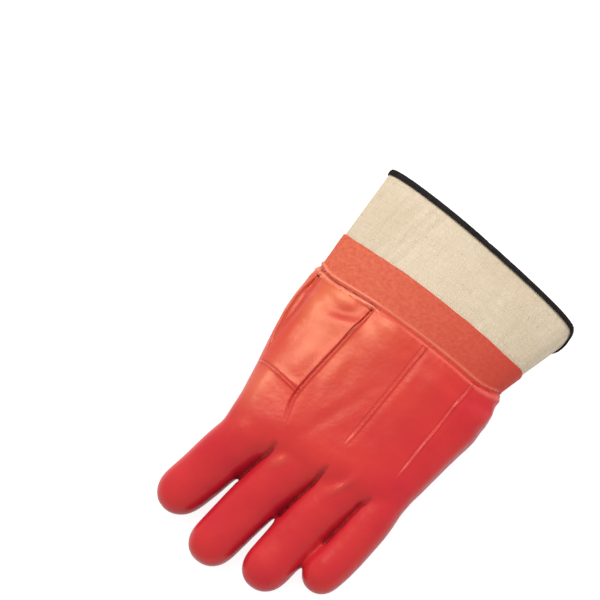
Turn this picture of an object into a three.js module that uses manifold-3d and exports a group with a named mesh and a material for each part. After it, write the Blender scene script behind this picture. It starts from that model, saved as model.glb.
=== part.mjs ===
// A PVC coated work glove for the left hand, lying with the back of the hand up.
// Millimetres. +Y runs from the cuff to the fingertips, +X to the index finger, +Z up.

import * as THREE from 'three';
import { mergeVertices } from 'three/addons/utils/BufferGeometryUtils.js';
import Module from 'manifold-3d';

const wasm = await Module();
wasm.setup();

// Safety cuff: a flared canvas tube that starts inside the hand's wrist edge by the tuck. Its rim is
// slanted, set back under the little finger's side and shifted towards that side. The tube is flattened
// where it rests, by as much as it settles.
const rimWidth = 154;
const rimHeight = 30;
const cuffLength = 74;
const cuffTuck = 7;
const canvasWall = 1.8;
const cuffRoll = THREE.MathUtils.degToRad(5);
const rimSlant = THREE.MathUtils.degToRad(7);
const rimSetBack = 22;
const rimShift = 1;
const settle = 1.8;

// How square the cuff's section is on each side, where 2 is an ellipse.
const cuffIndexPower = 1.7;
const rimLittlePower = 3.2;
const wristLittlePower = 2.1;

// Coated band over the cuff, and the binding folded round its rim.
const bandWidth = 24;
const bandSkin = 0.8;
const bindingDepth = 3.5;
const bindingWall = 1;
const clearance = 0.3;
const bindingGap = 0.45;

// Wrist and palm of the coated hand. The wrist edge arches towards the knuckles on the back of the hand,
// and the palm's centre line lies off the cuff's.
const wristWidth = 133;
const wristHeight = 32;
const wristArch = 8;
const palmCentreX = -11;
const palmLength = 120;
const knuckleWidth = 115;
const knuckleHeight = 28;
const knuckleLift = 22.5;
const knuckleSlant = THREE.MathUtils.degToRad(11);
const handRoll = THREE.MathUtils.degToRad(10);
const coatedWall = 3;

// Fingers, thumb and seams. A digit's root reaches into the palm, and a seam's roll sinks into the coating.
const fingerLength = 78;
const fingerWidth = 31;
const fingerHeight = 24;
const thumbLength = 90;
const thumbWidth = 31;
const thumbHeight = 22;
const digitRootDepth = 12;
const digitPower = 2.2;
const seamRidge = 1.2;
const seamSink = 0.4;

// Facets round the sleeve, round a digit, and round the inside of each.
const sleeveSides = 44;
const digitSides = 22;
const digitHollowSides = 14;
const ridgeSides = 7;

// Vertices nearer to each other than this are one.
const weldDistance = 1e-4;

// Palm sections. along: share of the palm's length from the wrist edge. index, little: where the edges
// lie from the centre line, as shares of the knuckle width. height: share of the knuckle height.
// lift: share of the knuckle lift. roll: share of the hand's roll. power: how square the section is.
const palmSections = [
  { along: 0.18, index: 0.680, little: -0.560, height: 1.40, lift: 0.78, roll: 0.60, power: 2.2 },
  { along: 0.31, index: 0.662, little: -0.549, height: 1.34, lift: 0.79, roll: 0.70, power: 2.3 },
  { along: 0.43, index: 0.630, little: -0.533, height: 1.27, lift: 0.82, roll: 0.80, power: 2.4 },
  { along: 0.56, index: 0.588, little: -0.522, height: 1.19, lift: 0.87, roll: 0.90, power: 2.6 },
  { along: 0.69, index: 0.545, little: -0.514, height: 1.11, lift: 0.92, roll: 1.00, power: 2.8 },
  { along: 0.80, index: 0.512, little: -0.507, height: 1.05, lift: 0.96, roll: 1.00, power: 3.0 },
  { along: 0.89, index: 0.498, little: -0.502, height: 0.99, lift: 0.99, roll: 1.00, power: 3.0 },
  { along: 0.95, index: 0.485, little: -0.492, height: 0.88, lift: 1.00, roll: 1.00, power: 2.8 },
  { along: 0.99, index: 0.460, little: -0.465, height: 0.68, lift: 1.00, roll: 1.00, power: 2.4 },
  { along: 1.02, index: 0.410, little: -0.415, height: 0.38, lift: 1.00, roll: 1.00, power: 2.0 },
];

// Dents in the back of the hand. along, across: their middle, as shares of the palm's length and of the
// section's half width. depth: share of the coated wall. reach, stretch: shares of the knuckle width.
const dents = [
  { along: 0.16, across: 0.72, depth: 0.9, reach: 0.07, stretch: 0.20 },
  { along: 0.40, across: 0.60, depth: 0.7, reach: 0.12, stretch: 0.10 },
  { along: 0.45, across: 0.05, depth: 0.4, reach: 0.10, stretch: 0.25 },
];

// Digits, from the index finger on. across, tip: where a digit's root and tip lie from the centre line, as
// shares of the knuckle width. bow: how far its middle swings out, as a share of its width. long, wide,
// high: shares of the finger's or the thumb's sizes. taper: the tip's width as a share of the root's.
// rise: the tip's height over the ground, as a share of the height at which it would rest there.
const fingers = [
  { across: 0.330, tip: 0.484, bow: 0.00, long: 0.815, wide: 1.03, high: 1.00, taper: 0.91, rise: 1.04 },
  { across: 0.052, tip: 0.158, bow: 0.06, long: 1.06, wide: 1.02, high: 1.00, taper: 0.87, rise: 0.94 },
  { across: -0.205, tip: -0.143, bow: 0.06, long: 1.035, wide: 0.97, high: 0.96, taper: 0.90, rise: 0.94 },
  { across: -0.402, tip: -0.362, bow: -0.10, long: 0.830, wide: 0.80, high: 0.88, taper: 0.93, rise: 0.92 },
];
const thumb =
  { across: 0.420, tip: 0.360, bow: -0.04, long: 1.00, wide: 1.00, high: 1.00, taper: 0.90, rise: 0.88 };

// What the fingers share, and what the thumb has instead. root: where they leave the palm, as a share of
// its length. steps: rings along the straight. levelUntil, downBy: the shares of the digit's length between
// which it comes down to the ground. rootShare: the root's width as a share of the digit's, which is whole
// at rootBlend from the root.
const fingerKind = {
  length: fingerLength, width: fingerWidth, height: fingerHeight,
  root: 0.93, steps: 7, levelUntil: 0, downBy: 0.85, rootShare: 0.88, rootBlend: 12,
};
const thumbKind = {
  length: thumbLength, width: thumbWidth, height: thumbHeight,
  root: 0.20, steps: 8, levelUntil: -0.3, downBy: 0.35, rootShare: 1.2, rootBlend: 45,
};

// A digit's first ring, deep in the palm, and its dome at the tip, whose rings lie at these degrees. The
// depth is a share of the root's depth, and the dome's length one of the digit's half width.
const rootPlug = { depth: 1.4, scale: 0.5 };
const dome = { length: 1.05, degrees: [22, 42, 60, 76] };

// Where round a section the wrist's arch and the rim's set-back start and are whole, as sines of the angle.
const archRange = [0, 0.7];
const setBackRange = [-0.3, 0.8];

// Raised seams on the back of the hand, each a run of points given as the dents' middles are.
const backSeams = [
  [[0.00, 0.31], [0.20, 0.36], [0.42, 0.41], [0.66, 0.46], [0.77, 0.45], [0.88, 0.40]],
  [[0.00, -0.31], [0.25, -0.29], [0.52, -0.26], [0.72, -0.23], [0.80, -0.21]],
  [[0.00, -0.80], [0.25, -0.75], [0.50, -0.76], [0.72, -0.76], [0.84, -0.77]],
  [[0.635, 0.97], [0.655, 0.82], [0.67, 0.62], [0.675, 0.46]],
];

const colours = {
  coated: new THREE.MeshStandardMaterial({ color: 0xdc3c2d, roughness: 0.38, metalness: 0 }),
  band: new THREE.MeshStandardMaterial({ color: 0xe1553a, roughness: 0.7, metalness: 0 }),
  canvas: new THREE.MeshStandardMaterial({ color: 0xebdcbe, roughness: 0.9, metalness: 0 }),
  binding: new THREE.MeshStandardMaterial({ color: 0x24242a, roughness: 0.75, metalness: 0 }),
};

const { lerp, smoothstep } = THREE.MathUtils;

// The canvas tube's section at a distance y from the rim. It is ruled straight from rim to wrist.
function sleeveSection(y) {
  const along = y / cuffLength;
  const rest = lerp(bindingWall + bindingGap, coatedWall + clearance, along);
  return {
    y,
    x: rimShift * (along - 1),
    halfWidth: lerp(rimWidth, wristWidth, along) / 2,
    halfHeight: lerp(rimHeight, wristHeight, along) / 2,
    z: lerp(rimHeight, wristHeight, along) / 2 + rest - settle,
    rest,
    roll: cuffRoll,
    indexPower: cuffIndexPower,
    littlePower: lerp(rimLittlePower, wristLittlePower, along),
    arch: wristArch * along ** 3,
    slant: -Math.tan(rimSlant) * (1 - along),
    setBack: rimSetBack * (1 - along),
    dented: 0,
  };
}

// The same section grown outwards by an amount, as the next layer's own section.
function grown(section, amount) {
  return {
    ...section,
    halfWidth: section.halfWidth + amount,
    halfHeight: section.halfHeight + amount,
    rest: section.rest - amount,
  };
}

// The palm's section in a row of the table.
function palmSection(row) {
  return {
    y: cuffLength + row.along * palmLength,
    x: palmCentreX + (row.index + row.little) / 2 * knuckleWidth,
    halfWidth: (row.index - row.little) / 2 * knuckleWidth,
    halfHeight: row.height * knuckleHeight / 2,
    z: row.lift * knuckleLift,
    rest: 0,
    roll: row.roll * handRoll,
    indexPower: row.power,
    littlePower: row.power,
    arch: wristArch * Math.max(0, 1 - 2 * row.along),
    slant: Math.tan(knuckleSlant) * row.along ** 2,
    setBack: 0,
    dented: 1,
  };
}

const wristGrowth = clearance + coatedWall;
const handSections = [
  grown(sleeveSection(cuffLength), wristGrowth),
  grown(sleeveSection(cuffLength + cuffTuck + coatedWall), wristGrowth),
  ...palmSections.map(palmSection),
];

// The hand's section at a share of the palm's length, between the sections that are given.
function handSectionAt(along) {
  const y = cuffLength + along * palmLength;
  const next = Math.max(1, handSections.findIndex((section) => section.y >= y));
  const [before, after] = [handSections[next - 1], handSections[next]];
  const part = (y - before.y) / (after.y - before.y);
  return Object.fromEntries(Object.keys(before).map((key) => [key, lerp(before[key], after[key], part)]));
}

// How deep the dents are at a point on the back of the hand.
function dentDepth(x, y) {
  let depth = 0;
  for (const dent of dents) {
    const section = handSectionAt(dent.along);
    const overX = (x - section.x - dent.across * section.halfWidth) / (dent.reach * knuckleWidth);
    const overY = (y - section.y) / (dent.stretch * knuckleWidth);
    depth += dent.depth * coatedWall * Math.exp(-(overX ** 2) - overY ** 2);
  }
  return depth;
}

// A point on a section, at an angle from the index side, and an offset out from its outline.
function sectionPoint(section, angle, offset = 0) {
  const cos = Math.cos(angle);
  const sin = Math.sin(angle);
  const bend = 2 / (cos > 0 ? section.indexPower : section.littlePower);
  const across = (section.halfWidth + offset) * Math.sign(cos) * Math.abs(cos) ** bend;
  const up = (section.halfHeight + offset) * Math.sign(sin) * Math.abs(sin) ** bend;
  const x = section.x + across * Math.cos(section.roll) - up * Math.sin(section.roll);
  const z = section.z + across * Math.sin(section.roll) + up * Math.cos(section.roll);
  const onBack = smoothstep(sin, ...archRange);
  const underLittle = smoothstep(-sin, ...setBackRange) * (1 - cos) / 2;
  const y = section.y + section.arch * onBack + section.slant * x + section.setBack * underLittle;
  const dent = section.dented * dentDepth(x, y) * Math.max(0, sin);
  return new THREE.Vector3(x, y, Math.max(z - dent, section.rest - offset, 0));
}

// A section's points, the first on the index side.
function ring(section, sides, offset = 0) {
  return Array.from({ length: sides }, (_, i) => sectionPoint(section, 2 * Math.PI * i / sides, offset));
}

// Joins rings of points into a closed surface. The ends are capped, or the last ring meets the first.
function loft(rings, wrapped = false) {
  const sides = rings[0].length;
  const points = rings.flat();
  const faces = [];
  const pairs = wrapped ? rings.length : rings.length - 1;
  for (let i = 0; i < pairs; i++) {
    const here = i * sides;
    const there = ((i + 1) % rings.length) * sides;
    for (let j = 0; j < sides; j++) {
      const k = (j + 1) % sides;
      const [a, b, c, d] = [here + j, here + k, there + k, there + j];
      if (points[a].distanceTo(points[c]) < points[b].distanceTo(points[d])) {
        faces.push(a, c, b, a, d, c);
      } else {
        faces.push(a, d, b, b, d, c);
      }
    }
  }
  if (!wrapped) {
    for (const [first, turned] of [[0, true], [(rings.length - 1) * sides, false]]) {
      const middle = new THREE.Vector3();
      points.slice(first, first + sides).forEach((point) => middle.addScaledVector(point, 1 / sides));
      points.push(middle);
      for (let j = 0; j < sides; j++) {
        const k = (j + 1) % sides;
        faces.push(points.length - 1, first + (turned ? j : k), first + (turned ? k : j));
      }
    }
  }
  const geometry = new THREE.BufferGeometry();
  const places = points.flatMap((point) => point.toArray());
  geometry.setAttribute('position', new THREE.Float32BufferAttribute(places, 3));
  geometry.setIndex(faces);
  return geometry;
}

// A closed geometry as a solid that can be joined and cut.
function solid(geometry) {
  const closed = geometry.clone();
  closed.deleteAttribute('normal');
  closed.deleteAttribute('uv');
  const merged = mergeVertices(closed, weldDistance);
  return new wasm.Manifold(new wasm.Mesh({
    numProp: 3,
    vertProperties: new Float32Array(merged.attributes.position.array),
    triVerts: new Uint32Array(merged.index.array),
  }));
}

// A solid's surface as a geometry.
function surface(body) {
  const mesh = body.getMesh();
  const geometry = new THREE.BufferGeometry();
  geometry.setAttribute('position', new THREE.Float32BufferAttribute(mesh.vertProperties, 3));
  geometry.setIndex(Array.from(mesh.triVerts));
  return geometry;
}

// A digit as rings along its axis, from inside the palm to its domed tip. The inset is its wall.
function digitRings(digit, kind, sides, inset) {
  const rootSection = handSectionAt(kind.root);
  const length = digit.long * kind.length;
  const rootX = palmCentreX + digit.across * knuckleWidth;
  const tipX = palmCentreX + digit.tip * knuckleWidth;
  const rootY = rootSection.y + rootSection.slant * rootX;
  const rootZ = rootSection.z + (rootX - rootSection.x) * Math.tan(rootSection.roll);
  const halfWidth = digit.wide * kind.width / 2;
  const halfHeight = digit.high * kind.height / 2;
  const tipZ = digit.rise * halfHeight;
  const domeLength = dome.length * halfWidth * digit.taper;
  const straight = length - domeLength;

  const centre = (distance) => {
    const part = distance / length;
    const swing = 8 * digit.bow * halfWidth * Math.max(0, part) * (1 - part);
    const drop = smoothstep(part, kind.levelUntil, kind.downBy);
    return new THREE.Vector3(lerp(rootX, tipX, part) + swing, rootY + distance, lerp(rootZ, tipZ, drop));
  };

  const stations = [[-rootPlug.depth * digitRootDepth, rootPlug.scale]];
  for (let i = 0; i <= kind.steps; i++) {
    stations.push([lerp(-digitRootDepth, straight, i / kind.steps), 1]);
  }
  for (const degrees of dome.degrees) {
    const turn = THREE.MathUtils.degToRad(degrees);
    stations.push([straight + domeLength * Math.sin(turn), Math.cos(turn)]);
  }

  return stations.map(([distance, scale]) => {
    const past = Math.max(0, (distance - straight) / domeLength);
    const along = distance - past * inset;
    const part = Math.max(0, along / length);
    const origin = centre(along);
    const tangent = centre(along + weldDistance).sub(centre(along - weldDistance)).normalize();
    const side = tangent.clone().cross(new THREE.Vector3(0, 0, 1)).normalize();
    const up = side.clone().cross(tangent);
    const roll = handRoll * Math.max(0, 1 - part);
    const taper = lerp(1, digit.taper, part)
      * lerp(kind.rootShare, 1, smoothstep(distance, -digitRootDepth, kind.rootBlend));
    return Array.from({ length: sides }, (_, i) => {
      const angle = 2 * Math.PI * i / sides;
      const [cos, sin] = [Math.cos(angle), Math.sin(angle)];
      const bend = 2 / digitPower;
      const across = (halfWidth * taper - inset) * scale * Math.sign(cos) * Math.abs(cos) ** bend;
      const over = (halfHeight * taper - inset) * scale * Math.sign(sin) * Math.abs(sin) ** bend;
      const point = origin.clone();
      point.addScaledVector(side, across * Math.cos(roll) - over * Math.sin(roll));
      point.addScaledVector(up, across * Math.sin(roll) + over * Math.cos(roll));
      point.z = Math.max(point.z, inset);
      return point;
    });
  });
}

// All five digits as solids set in by a wall.
function digitSolids(sides, inset) {
  return [
    ...fingers.map((finger) => solid(loft(digitRings(finger, fingerKind, sides, inset)))),
    solid(loft(digitRings(thumb, thumbKind, sides, inset))),
  ];
}

// The coated hand: palm, digits and seams joined, then hollowed by the same forms set in by the wall.
function makeHand() {
  const edge = (y, rise) => ring(grown(sleeveSection(cuffLength + y), wristGrowth + rise), sleeveSides);
  const palm = [
    ring(sleeveSection(cuffLength), sleeveSides, -canvasWall),
    edge(0, 0),
    edge(seamRidge, seamRidge),
    edge(3 * seamRidge, seamRidge),
    edge(4 * seamRidge, 0),
    ...handSections.slice(1).map((section) => ring(section, sleeveSides)),
  ];
  const outside = [...digitSolids(digitSides, 0), ...backSeams.map((seam) => solid(seamRoll(seam)))]
    .reduce((body, piece) => body.add(piece), solid(loft(palm)));

  const palmHollow = [
    ring(grown(sleeveSection(cuffLength - coatedWall), clearance), sleeveSides),
    ...handSections.slice(0, -2).map((section) => ring(section, sleeveSides, -coatedWall)),
  ];
  const hollow = digitSolids(digitHollowSides, coatedWall)
    .reduce((body, piece) => body.add(piece), solid(loft(palmHollow)));
  return surface(outside.subtract(hollow));
}

// A raised seam: a thin roll laid along the back of the hand.
function seamRoll(seam) {
  const points = seam.map(([along, across]) => {
    const section = handSectionAt(along);
    const power = across > 0 ? section.indexPower : section.littlePower;
    const cos = Math.sign(across) * Math.abs(across) ** (power / 2);
    return sectionPoint(section, Math.acos(cos), -seamSink);
  });
  const circle = new THREE.Shape();
  circle.absarc(0, 0, seamRidge, 0, 2 * Math.PI);
  const path = new THREE.CatmullRomCurve3(points, false, 'centripetal');
  return new THREE.ExtrudeGeometry(circle, {
    extrudePath: path, steps: 3 * points.length, curveSegments: ridgeSides, bevelEnabled: false,
  });
}

// A tube made of layers: a run of [distance from the rim, offset from the canvas] pairs round its wall.
function sleeve(profile) {
  return loft(profile.map(([y, offset]) => ring(sleeveSection(y), sleeveSides, offset)), true);
}

const bandStart = cuffLength - bandWidth;
const bandMiddle = cuffLength - bandWidth / 2;
const bandOut = clearance + bandSkin;
const bindingIn = -canvasWall - bindingGap;

const canvasStations = [
  cuffLength + cuffTuck, cuffLength, bandMiddle, bandStart, bandStart / 2, bindingDepth, 0,
];

const safetyCuff = sleeve([
  ...canvasStations.map((y) => [y, -canvasWall]),
  ...canvasStations.toReversed().map((y) => [y, 0]),
]);

const cuffBand = sleeve([
  [cuffLength - clearance, clearance], [bandMiddle, clearance], [bandStart, clearance],
  [bandStart, bandOut], [bandMiddle, bandOut], [cuffLength - clearance, bandOut],
]);

const cuffBinding = sleeve([
  [bindingDepth, bindingGap], [0, bindingGap], [-bindingGap, bindingGap],
  [-bindingGap, bindingIn], [0, bindingIn], [bindingDepth, bindingIn],
  [bindingDepth, bindingIn - bindingWall], [0, bindingIn - bindingWall],
  [-bindingGap - bindingWall, bindingIn], [-bindingGap - bindingWall, bindingGap],
  [0, bindingGap + bindingWall], [bindingDepth, bindingGap + bindingWall],
]);

const glove = new THREE.Group();
for (const [name, geometry, material] of [
  ['hand', makeHand(), colours.coated],
  ['cuff_band', cuffBand, colours.band],
  ['safety_cuff', safetyCuff, colours.canvas],
  ['cuff_binding', cuffBinding, colours.binding],
]) {
  const mesh = new THREE.Mesh(geometry, material);
  mesh.name = name;
  glove.add(mesh);
}

// The glove stands on the ground, centred over its origin.
const box = new THREE.Box3().setFromObject(glove);
const middle = box.getCenter(new THREE.Vector3());
glove.position.set(-middle.x, -middle.y, -box.min.z);

export default glove;
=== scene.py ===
# %% [markdown]
# # A PVC coated work glove
# The glove lies on its palm with the back of the hand up. It has four pieces: the coated hand, a coated
# band over the foot of the cuff, the canvas safety cuff, and the dark binding sewn round the cuff's rim.
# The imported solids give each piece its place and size. Here every piece gets its fine surface: soft
# folds, raised seams, threads and cloth. Lengths are in metres, and MM turns millimetres into metres.

import math
from contextlib import contextmanager

import bmesh
import bpy
import numpy as np
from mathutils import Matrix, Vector, noise
from mathutils.bvhtree import BVHTree
from mathutils.kdtree import KDTree


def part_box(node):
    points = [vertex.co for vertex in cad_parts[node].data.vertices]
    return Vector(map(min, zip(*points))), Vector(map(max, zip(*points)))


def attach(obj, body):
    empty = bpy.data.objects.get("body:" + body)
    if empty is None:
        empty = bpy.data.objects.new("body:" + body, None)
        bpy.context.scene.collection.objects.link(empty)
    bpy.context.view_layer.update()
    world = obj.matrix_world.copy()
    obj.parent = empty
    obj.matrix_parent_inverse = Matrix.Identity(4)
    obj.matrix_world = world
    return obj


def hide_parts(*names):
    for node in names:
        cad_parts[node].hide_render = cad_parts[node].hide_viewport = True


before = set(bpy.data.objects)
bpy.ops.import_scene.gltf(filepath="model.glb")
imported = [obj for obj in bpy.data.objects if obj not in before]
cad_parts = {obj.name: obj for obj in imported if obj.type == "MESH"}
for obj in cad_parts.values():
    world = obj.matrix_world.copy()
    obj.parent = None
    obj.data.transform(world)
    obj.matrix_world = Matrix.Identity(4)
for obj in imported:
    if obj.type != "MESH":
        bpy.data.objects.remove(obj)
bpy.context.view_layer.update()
MM = 0.001
print("solids:", ", ".join(sorted(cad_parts)))

# %% [markdown]
# ## The camera
# A camera is set by where it aims, the direction from which it looks and how much of the ground one
# pixel covers. Setting the lens from those sizes keeps the view tied to the real glove, instead of
# nudging the camera by eye.

# %% Place the camera
azimuth = math.radians(218.3)
elevation = math.radians(60)
distance = 1.3
photo_width = 600
pixel_size = 0.62 * MM
aim = Vector((71.6, -37.7, 0)) * MM

back = Vector((
    math.sin(azimuth) * math.cos(elevation),
    -math.cos(azimuth) * math.cos(elevation),
    math.sin(elevation),
))
lens_data = bpy.data.cameras.new("camera")
lens_data.sensor_width = 36
lens_data.lens = lens_data.sensor_width * distance / (photo_width * pixel_size)
camera = bpy.data.objects.new("camera", lens_data)
camera.location = aim + back * distance
camera.rotation_mode = "QUATERNION"
camera.rotation_quaternion = (-back).to_track_quat("-Z", "Y")
bpy.context.scene.collection.objects.link(camera)
bpy.context.scene.camera = camera
print(f"lens {lens_data.lens:.1f} mm at {distance} m")

# %% [markdown]
# ## Tools for the bench
# A solid comes from the frame as loose triangles. Each piece starts as a welded copy of its solid, which
# keeps it exactly where the solid lies. The helpers weld a copy, open a mesh for editing, apply
# modifiers and hand the vertices over as one array, because moving a hundred thousand vertices one by
# one is slow.

# %% Helpers for meshes
weld_gap = 0.01 * MM


@contextmanager
def editing(piece):
    """Opens the piece's mesh as a bmesh and writes it back."""
    bm = bmesh.new()
    bm.from_mesh(piece.data)
    yield bm
    bm.to_mesh(piece.data)
    bm.free()


def copy_of(node, name):
    """A new piece with a welded copy of a solid's mesh."""
    piece = bpy.data.objects.new(name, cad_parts[node].data.copy())
    piece.data.name = name
    piece.data.materials.clear()
    bpy.context.scene.collection.objects.link(piece)
    with editing(piece) as bm:
        bmesh.ops.remove_doubles(bm, verts=bm.verts, dist=weld_gap)
    return piece


def apply_modifiers(piece):
    """Makes what the modifiers show the piece's own mesh."""
    shown = piece.evaluated_get(bpy.context.evaluated_depsgraph_get())
    made = bpy.data.meshes.new_from_object(shown)
    piece.modifiers.clear()
    piece.data = made


def add_modifier(piece, kind, **values):
    """Adds a modifier and sets the values that are named."""
    modifier = piece.modifiers.new(kind.lower(), kind)
    for name, value in values.items():
        setattr(modifier, name, value)


def places_of(piece):
    """The vertices' places as an array."""
    flat = np.empty(3 * len(piece.data.vertices), np.float32)
    piece.data.vertices.foreach_get("co", flat)
    return flat.reshape(-1, 3).astype(float)


def normals_of(piece):
    """The vertices' normals as an array."""
    flat = np.empty(3 * len(piece.data.vertices), np.float32)
    piece.data.vertex_normals.foreach_get("vector", flat)
    return flat.reshape(-1, 3).astype(float)


def move_to(piece, places):
    """Puts the vertices at these places."""
    piece.data.vertices.foreach_set("co", places.astype(np.float32).ravel())
    piece.data.update()


def smooth_verts(bm, verts):
    """Moves each vertex halfway to the middle of its neighbours."""
    bmesh.ops.smooth_vert(
        bm, verts=verts, factor=0.5, use_axis_x=True, use_axis_y=True, use_axis_z=True)


# %% Helpers for numbers
def keep_attribute(piece, name, values):
    """Stores one number for each vertex, for the materials to read."""
    layer = piece.data.attributes.new(name, "FLOAT", "POINT")
    layer.data.foreach_set("value", values.astype(np.float32))


def raise_attribute(piece, name, values):
    """Raises a stored number to these values wherever they are higher."""
    stored = piece.data.attributes[name].data
    kept = np.empty(len(stored), np.float32)
    stored.foreach_get("value", kept)
    stored.foreach_set("value", np.maximum(kept, values.astype(np.float32)))


def ease(low, high, value):
    """0 below low, 1 above high, and smooth in between."""
    share = np.clip((value - low) / (high - low), 0, 1)
    return share * share * (3 - 2 * share)


def bell(value, width):
    """1 where the value is 0, falling smoothly to almost nothing two widths away on both sides."""
    return np.exp(-((value / width) ** 2))


# %% [markdown]
# ## The hand: one soft skin
# The real hand is a sewn, foam lined glove that was dipped in PVC, so its skin runs on without an edge
# from palm to fingertips. The solid has that form in flat facets. A voxel remesh turns the facets into
# an even net of small squares, and smoothing then rounds it. Subdividing the facets would be quicker,
# but it pinches where the fingers were joined to the palm.

# %% Remesh and smooth the hand
voxel = 1.15 * MM
smoothing_rounds = 55
shrinkage = 0.55 * MM

hand = copy_of("hand", "hand_coating")
add_modifier(hand, "REMESH", mode="VOXEL", voxel_size=voxel)
add_modifier(hand, "SMOOTH", factor=0.5, iterations=smoothing_rounds)
apply_modifiers(hand)
hand_low, hand_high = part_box("hand")
hand_size = hand_high - hand_low
hand_flatness = hand_size.x / hand_size.z
print(f"hand: {len(hand.data.polygons)} faces of {voxel / MM:.2f} mm")

# %% [markdown]
# The skin has an outside and an inside, which meet at the wrist edge. Only the outside gets fine detail,
# so the two are told apart: starting from a fingertip, the outside is every vertex that can be reached
# without crossing the wrist edge.

# %% Tell the outside from the inside
edge_reach = 2.6 * MM
turn_steps = 90


def around_wrist(places):
    """Each place's direction round the wrist, as a whole number of steps."""
    across = places[:, 0] - (hand_low.x + hand_high.x) / 2
    up = (places[:, 2] - (hand_low.z + hand_high.z) / 2) * hand_flatness
    return ((np.arctan2(up, across) / (2 * np.pi) + 0.5) * turn_steps).astype(int) % turn_steps


def wrist_line(places):
    """How far each place lies from the wrist edge, towards the fingers."""
    turn = around_wrist(places)
    low = np.full(turn_steps, np.inf)
    np.minimum.at(low, turn, places[:, 1])
    low = (np.roll(low, 1) + low + np.roll(low, -1)) / 3
    return places[:, 1] - low[turn]


def outside_of(piece):
    """True for each vertex on the outside of the skin."""
    places = places_of(piece)
    on_edge = wrist_line(places) < edge_reach
    pairs = np.empty(2 * len(piece.data.edges), np.int32)
    piece.data.edges.foreach_get("vertices", pairs)
    pairs = pairs.reshape(-1, 2)
    pairs = pairs[~on_edge[pairs].any(axis=1)]
    reached = np.zeros(len(places), bool)
    reached[places[:, 1].argmax()] = True
    count = 0
    while reached.sum() > count:
        count = reached.sum()
        reached[pairs[reached[pairs].any(axis=1)]] = True
    return reached


outside = outside_of(hand)
skin_places = places_of(hand)
skin_places[outside] += normals_of(hand)[outside] * shrinkage
skin_places[:, 2] = np.maximum(skin_places[:, 2], 0)
move_to(hand, skin_places)
print(f"outside: {outside.sum()} of {len(outside)} vertices")

# %% [markdown]
# ## The hand: seams
# Under the coating the hand is sewn from panels. Each seam shows as a rounded welt with a groove beside
# it. A route is drawn on the back of the hand in shares of its width and length, laid on the skin with
# rays from above, and the skin close to it is cut into finer squares, so that a welt 2 mm wide has
# enough vertices. The welts could be tubes laid on the skin, but a dipped seam has no edge of its own.

# %% The seams' routes
# across: from the little finger's side, 0, to the index finger's, 1. along: from the wrist, 0, to the
# fingertips, 1. groove_side: 1 where the groove lies to the left of the way that the route runs. fade:
# the last share of the route, over which the seam dies away.
seams = {
    "index": dict(
        route=[(0.640, 0.0), (0.641, 0.15), (0.643, 0.30), (0.640, 0.44), (0.617, 0.503), (0.586, 0.552)],
        ridge=0.75 * MM, groove=0.95 * MM, groove_side=-1, fade=0.25),
    "middle": dict(
        route=[(0.374, 0.0), (0.369, 0.18), (0.365, 0.32), (0.361, 0.43), (0.361, 0.49)],
        ridge=0.65 * MM, groove=0.28 * MM, groove_side=-1, fade=0.25),
    "little": dict(
        route=[(0.137, 0.0), (0.133, 0.18), (0.131, 0.32), (0.127, 0.42), (0.125, 0.485)],
        ridge=0.55 * MM, groove=0.22 * MM, groove_side=-1, fade=0.25),
    "cross": dict(
        route=[(0.885, 0.412), (0.796, 0.423), (0.716, 0.431), (0.645, 0.438)],
        ridge=0.75 * MM, groove=0.45 * MM, groove_side=1, fade=0.0),
    "side": dict(
        route=[(0.953, 0.035), (0.954, 0.108), (0.940, 0.20), (0.915, 0.28), (0.872, 0.375)],
        ridge=0.80 * MM, groove=0.55 * MM, groove_side=1, fade=0.20),
}
route_step = 0.4 * MM
route_look = 6


def curve_through(points, step):
    """Points a step apart on a smooth curve through these points."""
    points = [np.array(point) for point in points]
    points = [2 * points[0] - points[1], *points, 2 * points[-1] - points[-2]]
    curve = []
    for before, start, end, after in zip(points, points[1:], points[2:], points[3:]):
        count = max(1, round(np.linalg.norm(end - start) / step))
        for t in np.arange(count) / count:
            curve.append(0.5 * (
                2 * start + (end - before) * t + (2 * before - 5 * start + 4 * end - after) * t ** 2
                + (3 * start - before - 3 * end + after) * t ** 3
            ))
    return [*curve, points[-2]]


def plan_of(route):
    """The route from above: places a step apart, from its shares of the hand's width and length."""
    points = [
        (hand_low.x + across * hand_size.x, hand_low.y + along * hand_size.y)
        for across, along in route
    ]
    return curve_through(points, route_step)


def skin_tree(piece):
    """A tree that finds where a ray meets the piece's skin."""
    return BVHTree.FromObject(piece, bpy.context.evaluated_depsgraph_get())


def look_down(tree, x, y):
    """The skin's place and normal as seen from straight above, or None for both."""
    place, normal, _, _ = tree.ray_cast(Vector((x, y, 2 * hand_high.z)), Vector((0, 0, -1)))
    return place, normal


def lay_on(piece, route):
    """The route's places on the skin, with the direction to the left of it at each."""
    tree = skin_tree(piece)
    seen = [look_down(tree, x, y) for x, y in plan_of(route)]
    laid = [(place, normal) for place, normal in seen if place is not None]
    lefts = []
    for i, (place, normal) in enumerate(laid):
        ahead = laid[min(i + route_look, len(laid) - 1)][0] - laid[max(i - route_look, 0)][0]
        lefts.append(normal.cross(ahead).normalized())
    return [(place, left) for (place, _), left in zip(laid, lefts)]


for name, seam in seams.items():
    seam["laid"] = lay_on(hand, seam["route"])
    print(f"{name} seam: {len(seam['laid']) * route_step / MM:.0f} mm")

# %% Cut the skin finer along the seams
fine_reach = 2.6 * MM
fine_cuts = 3


def tree_of(places):
    """A tree that finds the nearest of these places."""
    tree = KDTree(len(places))
    for i, place in enumerate(places):
        tree.insert(place, i)
    tree.balance()
    return tree


def from_seams(place):
    """How far a place lies from the nearest seam."""
    return seam_tree.find(place)[2]


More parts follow.
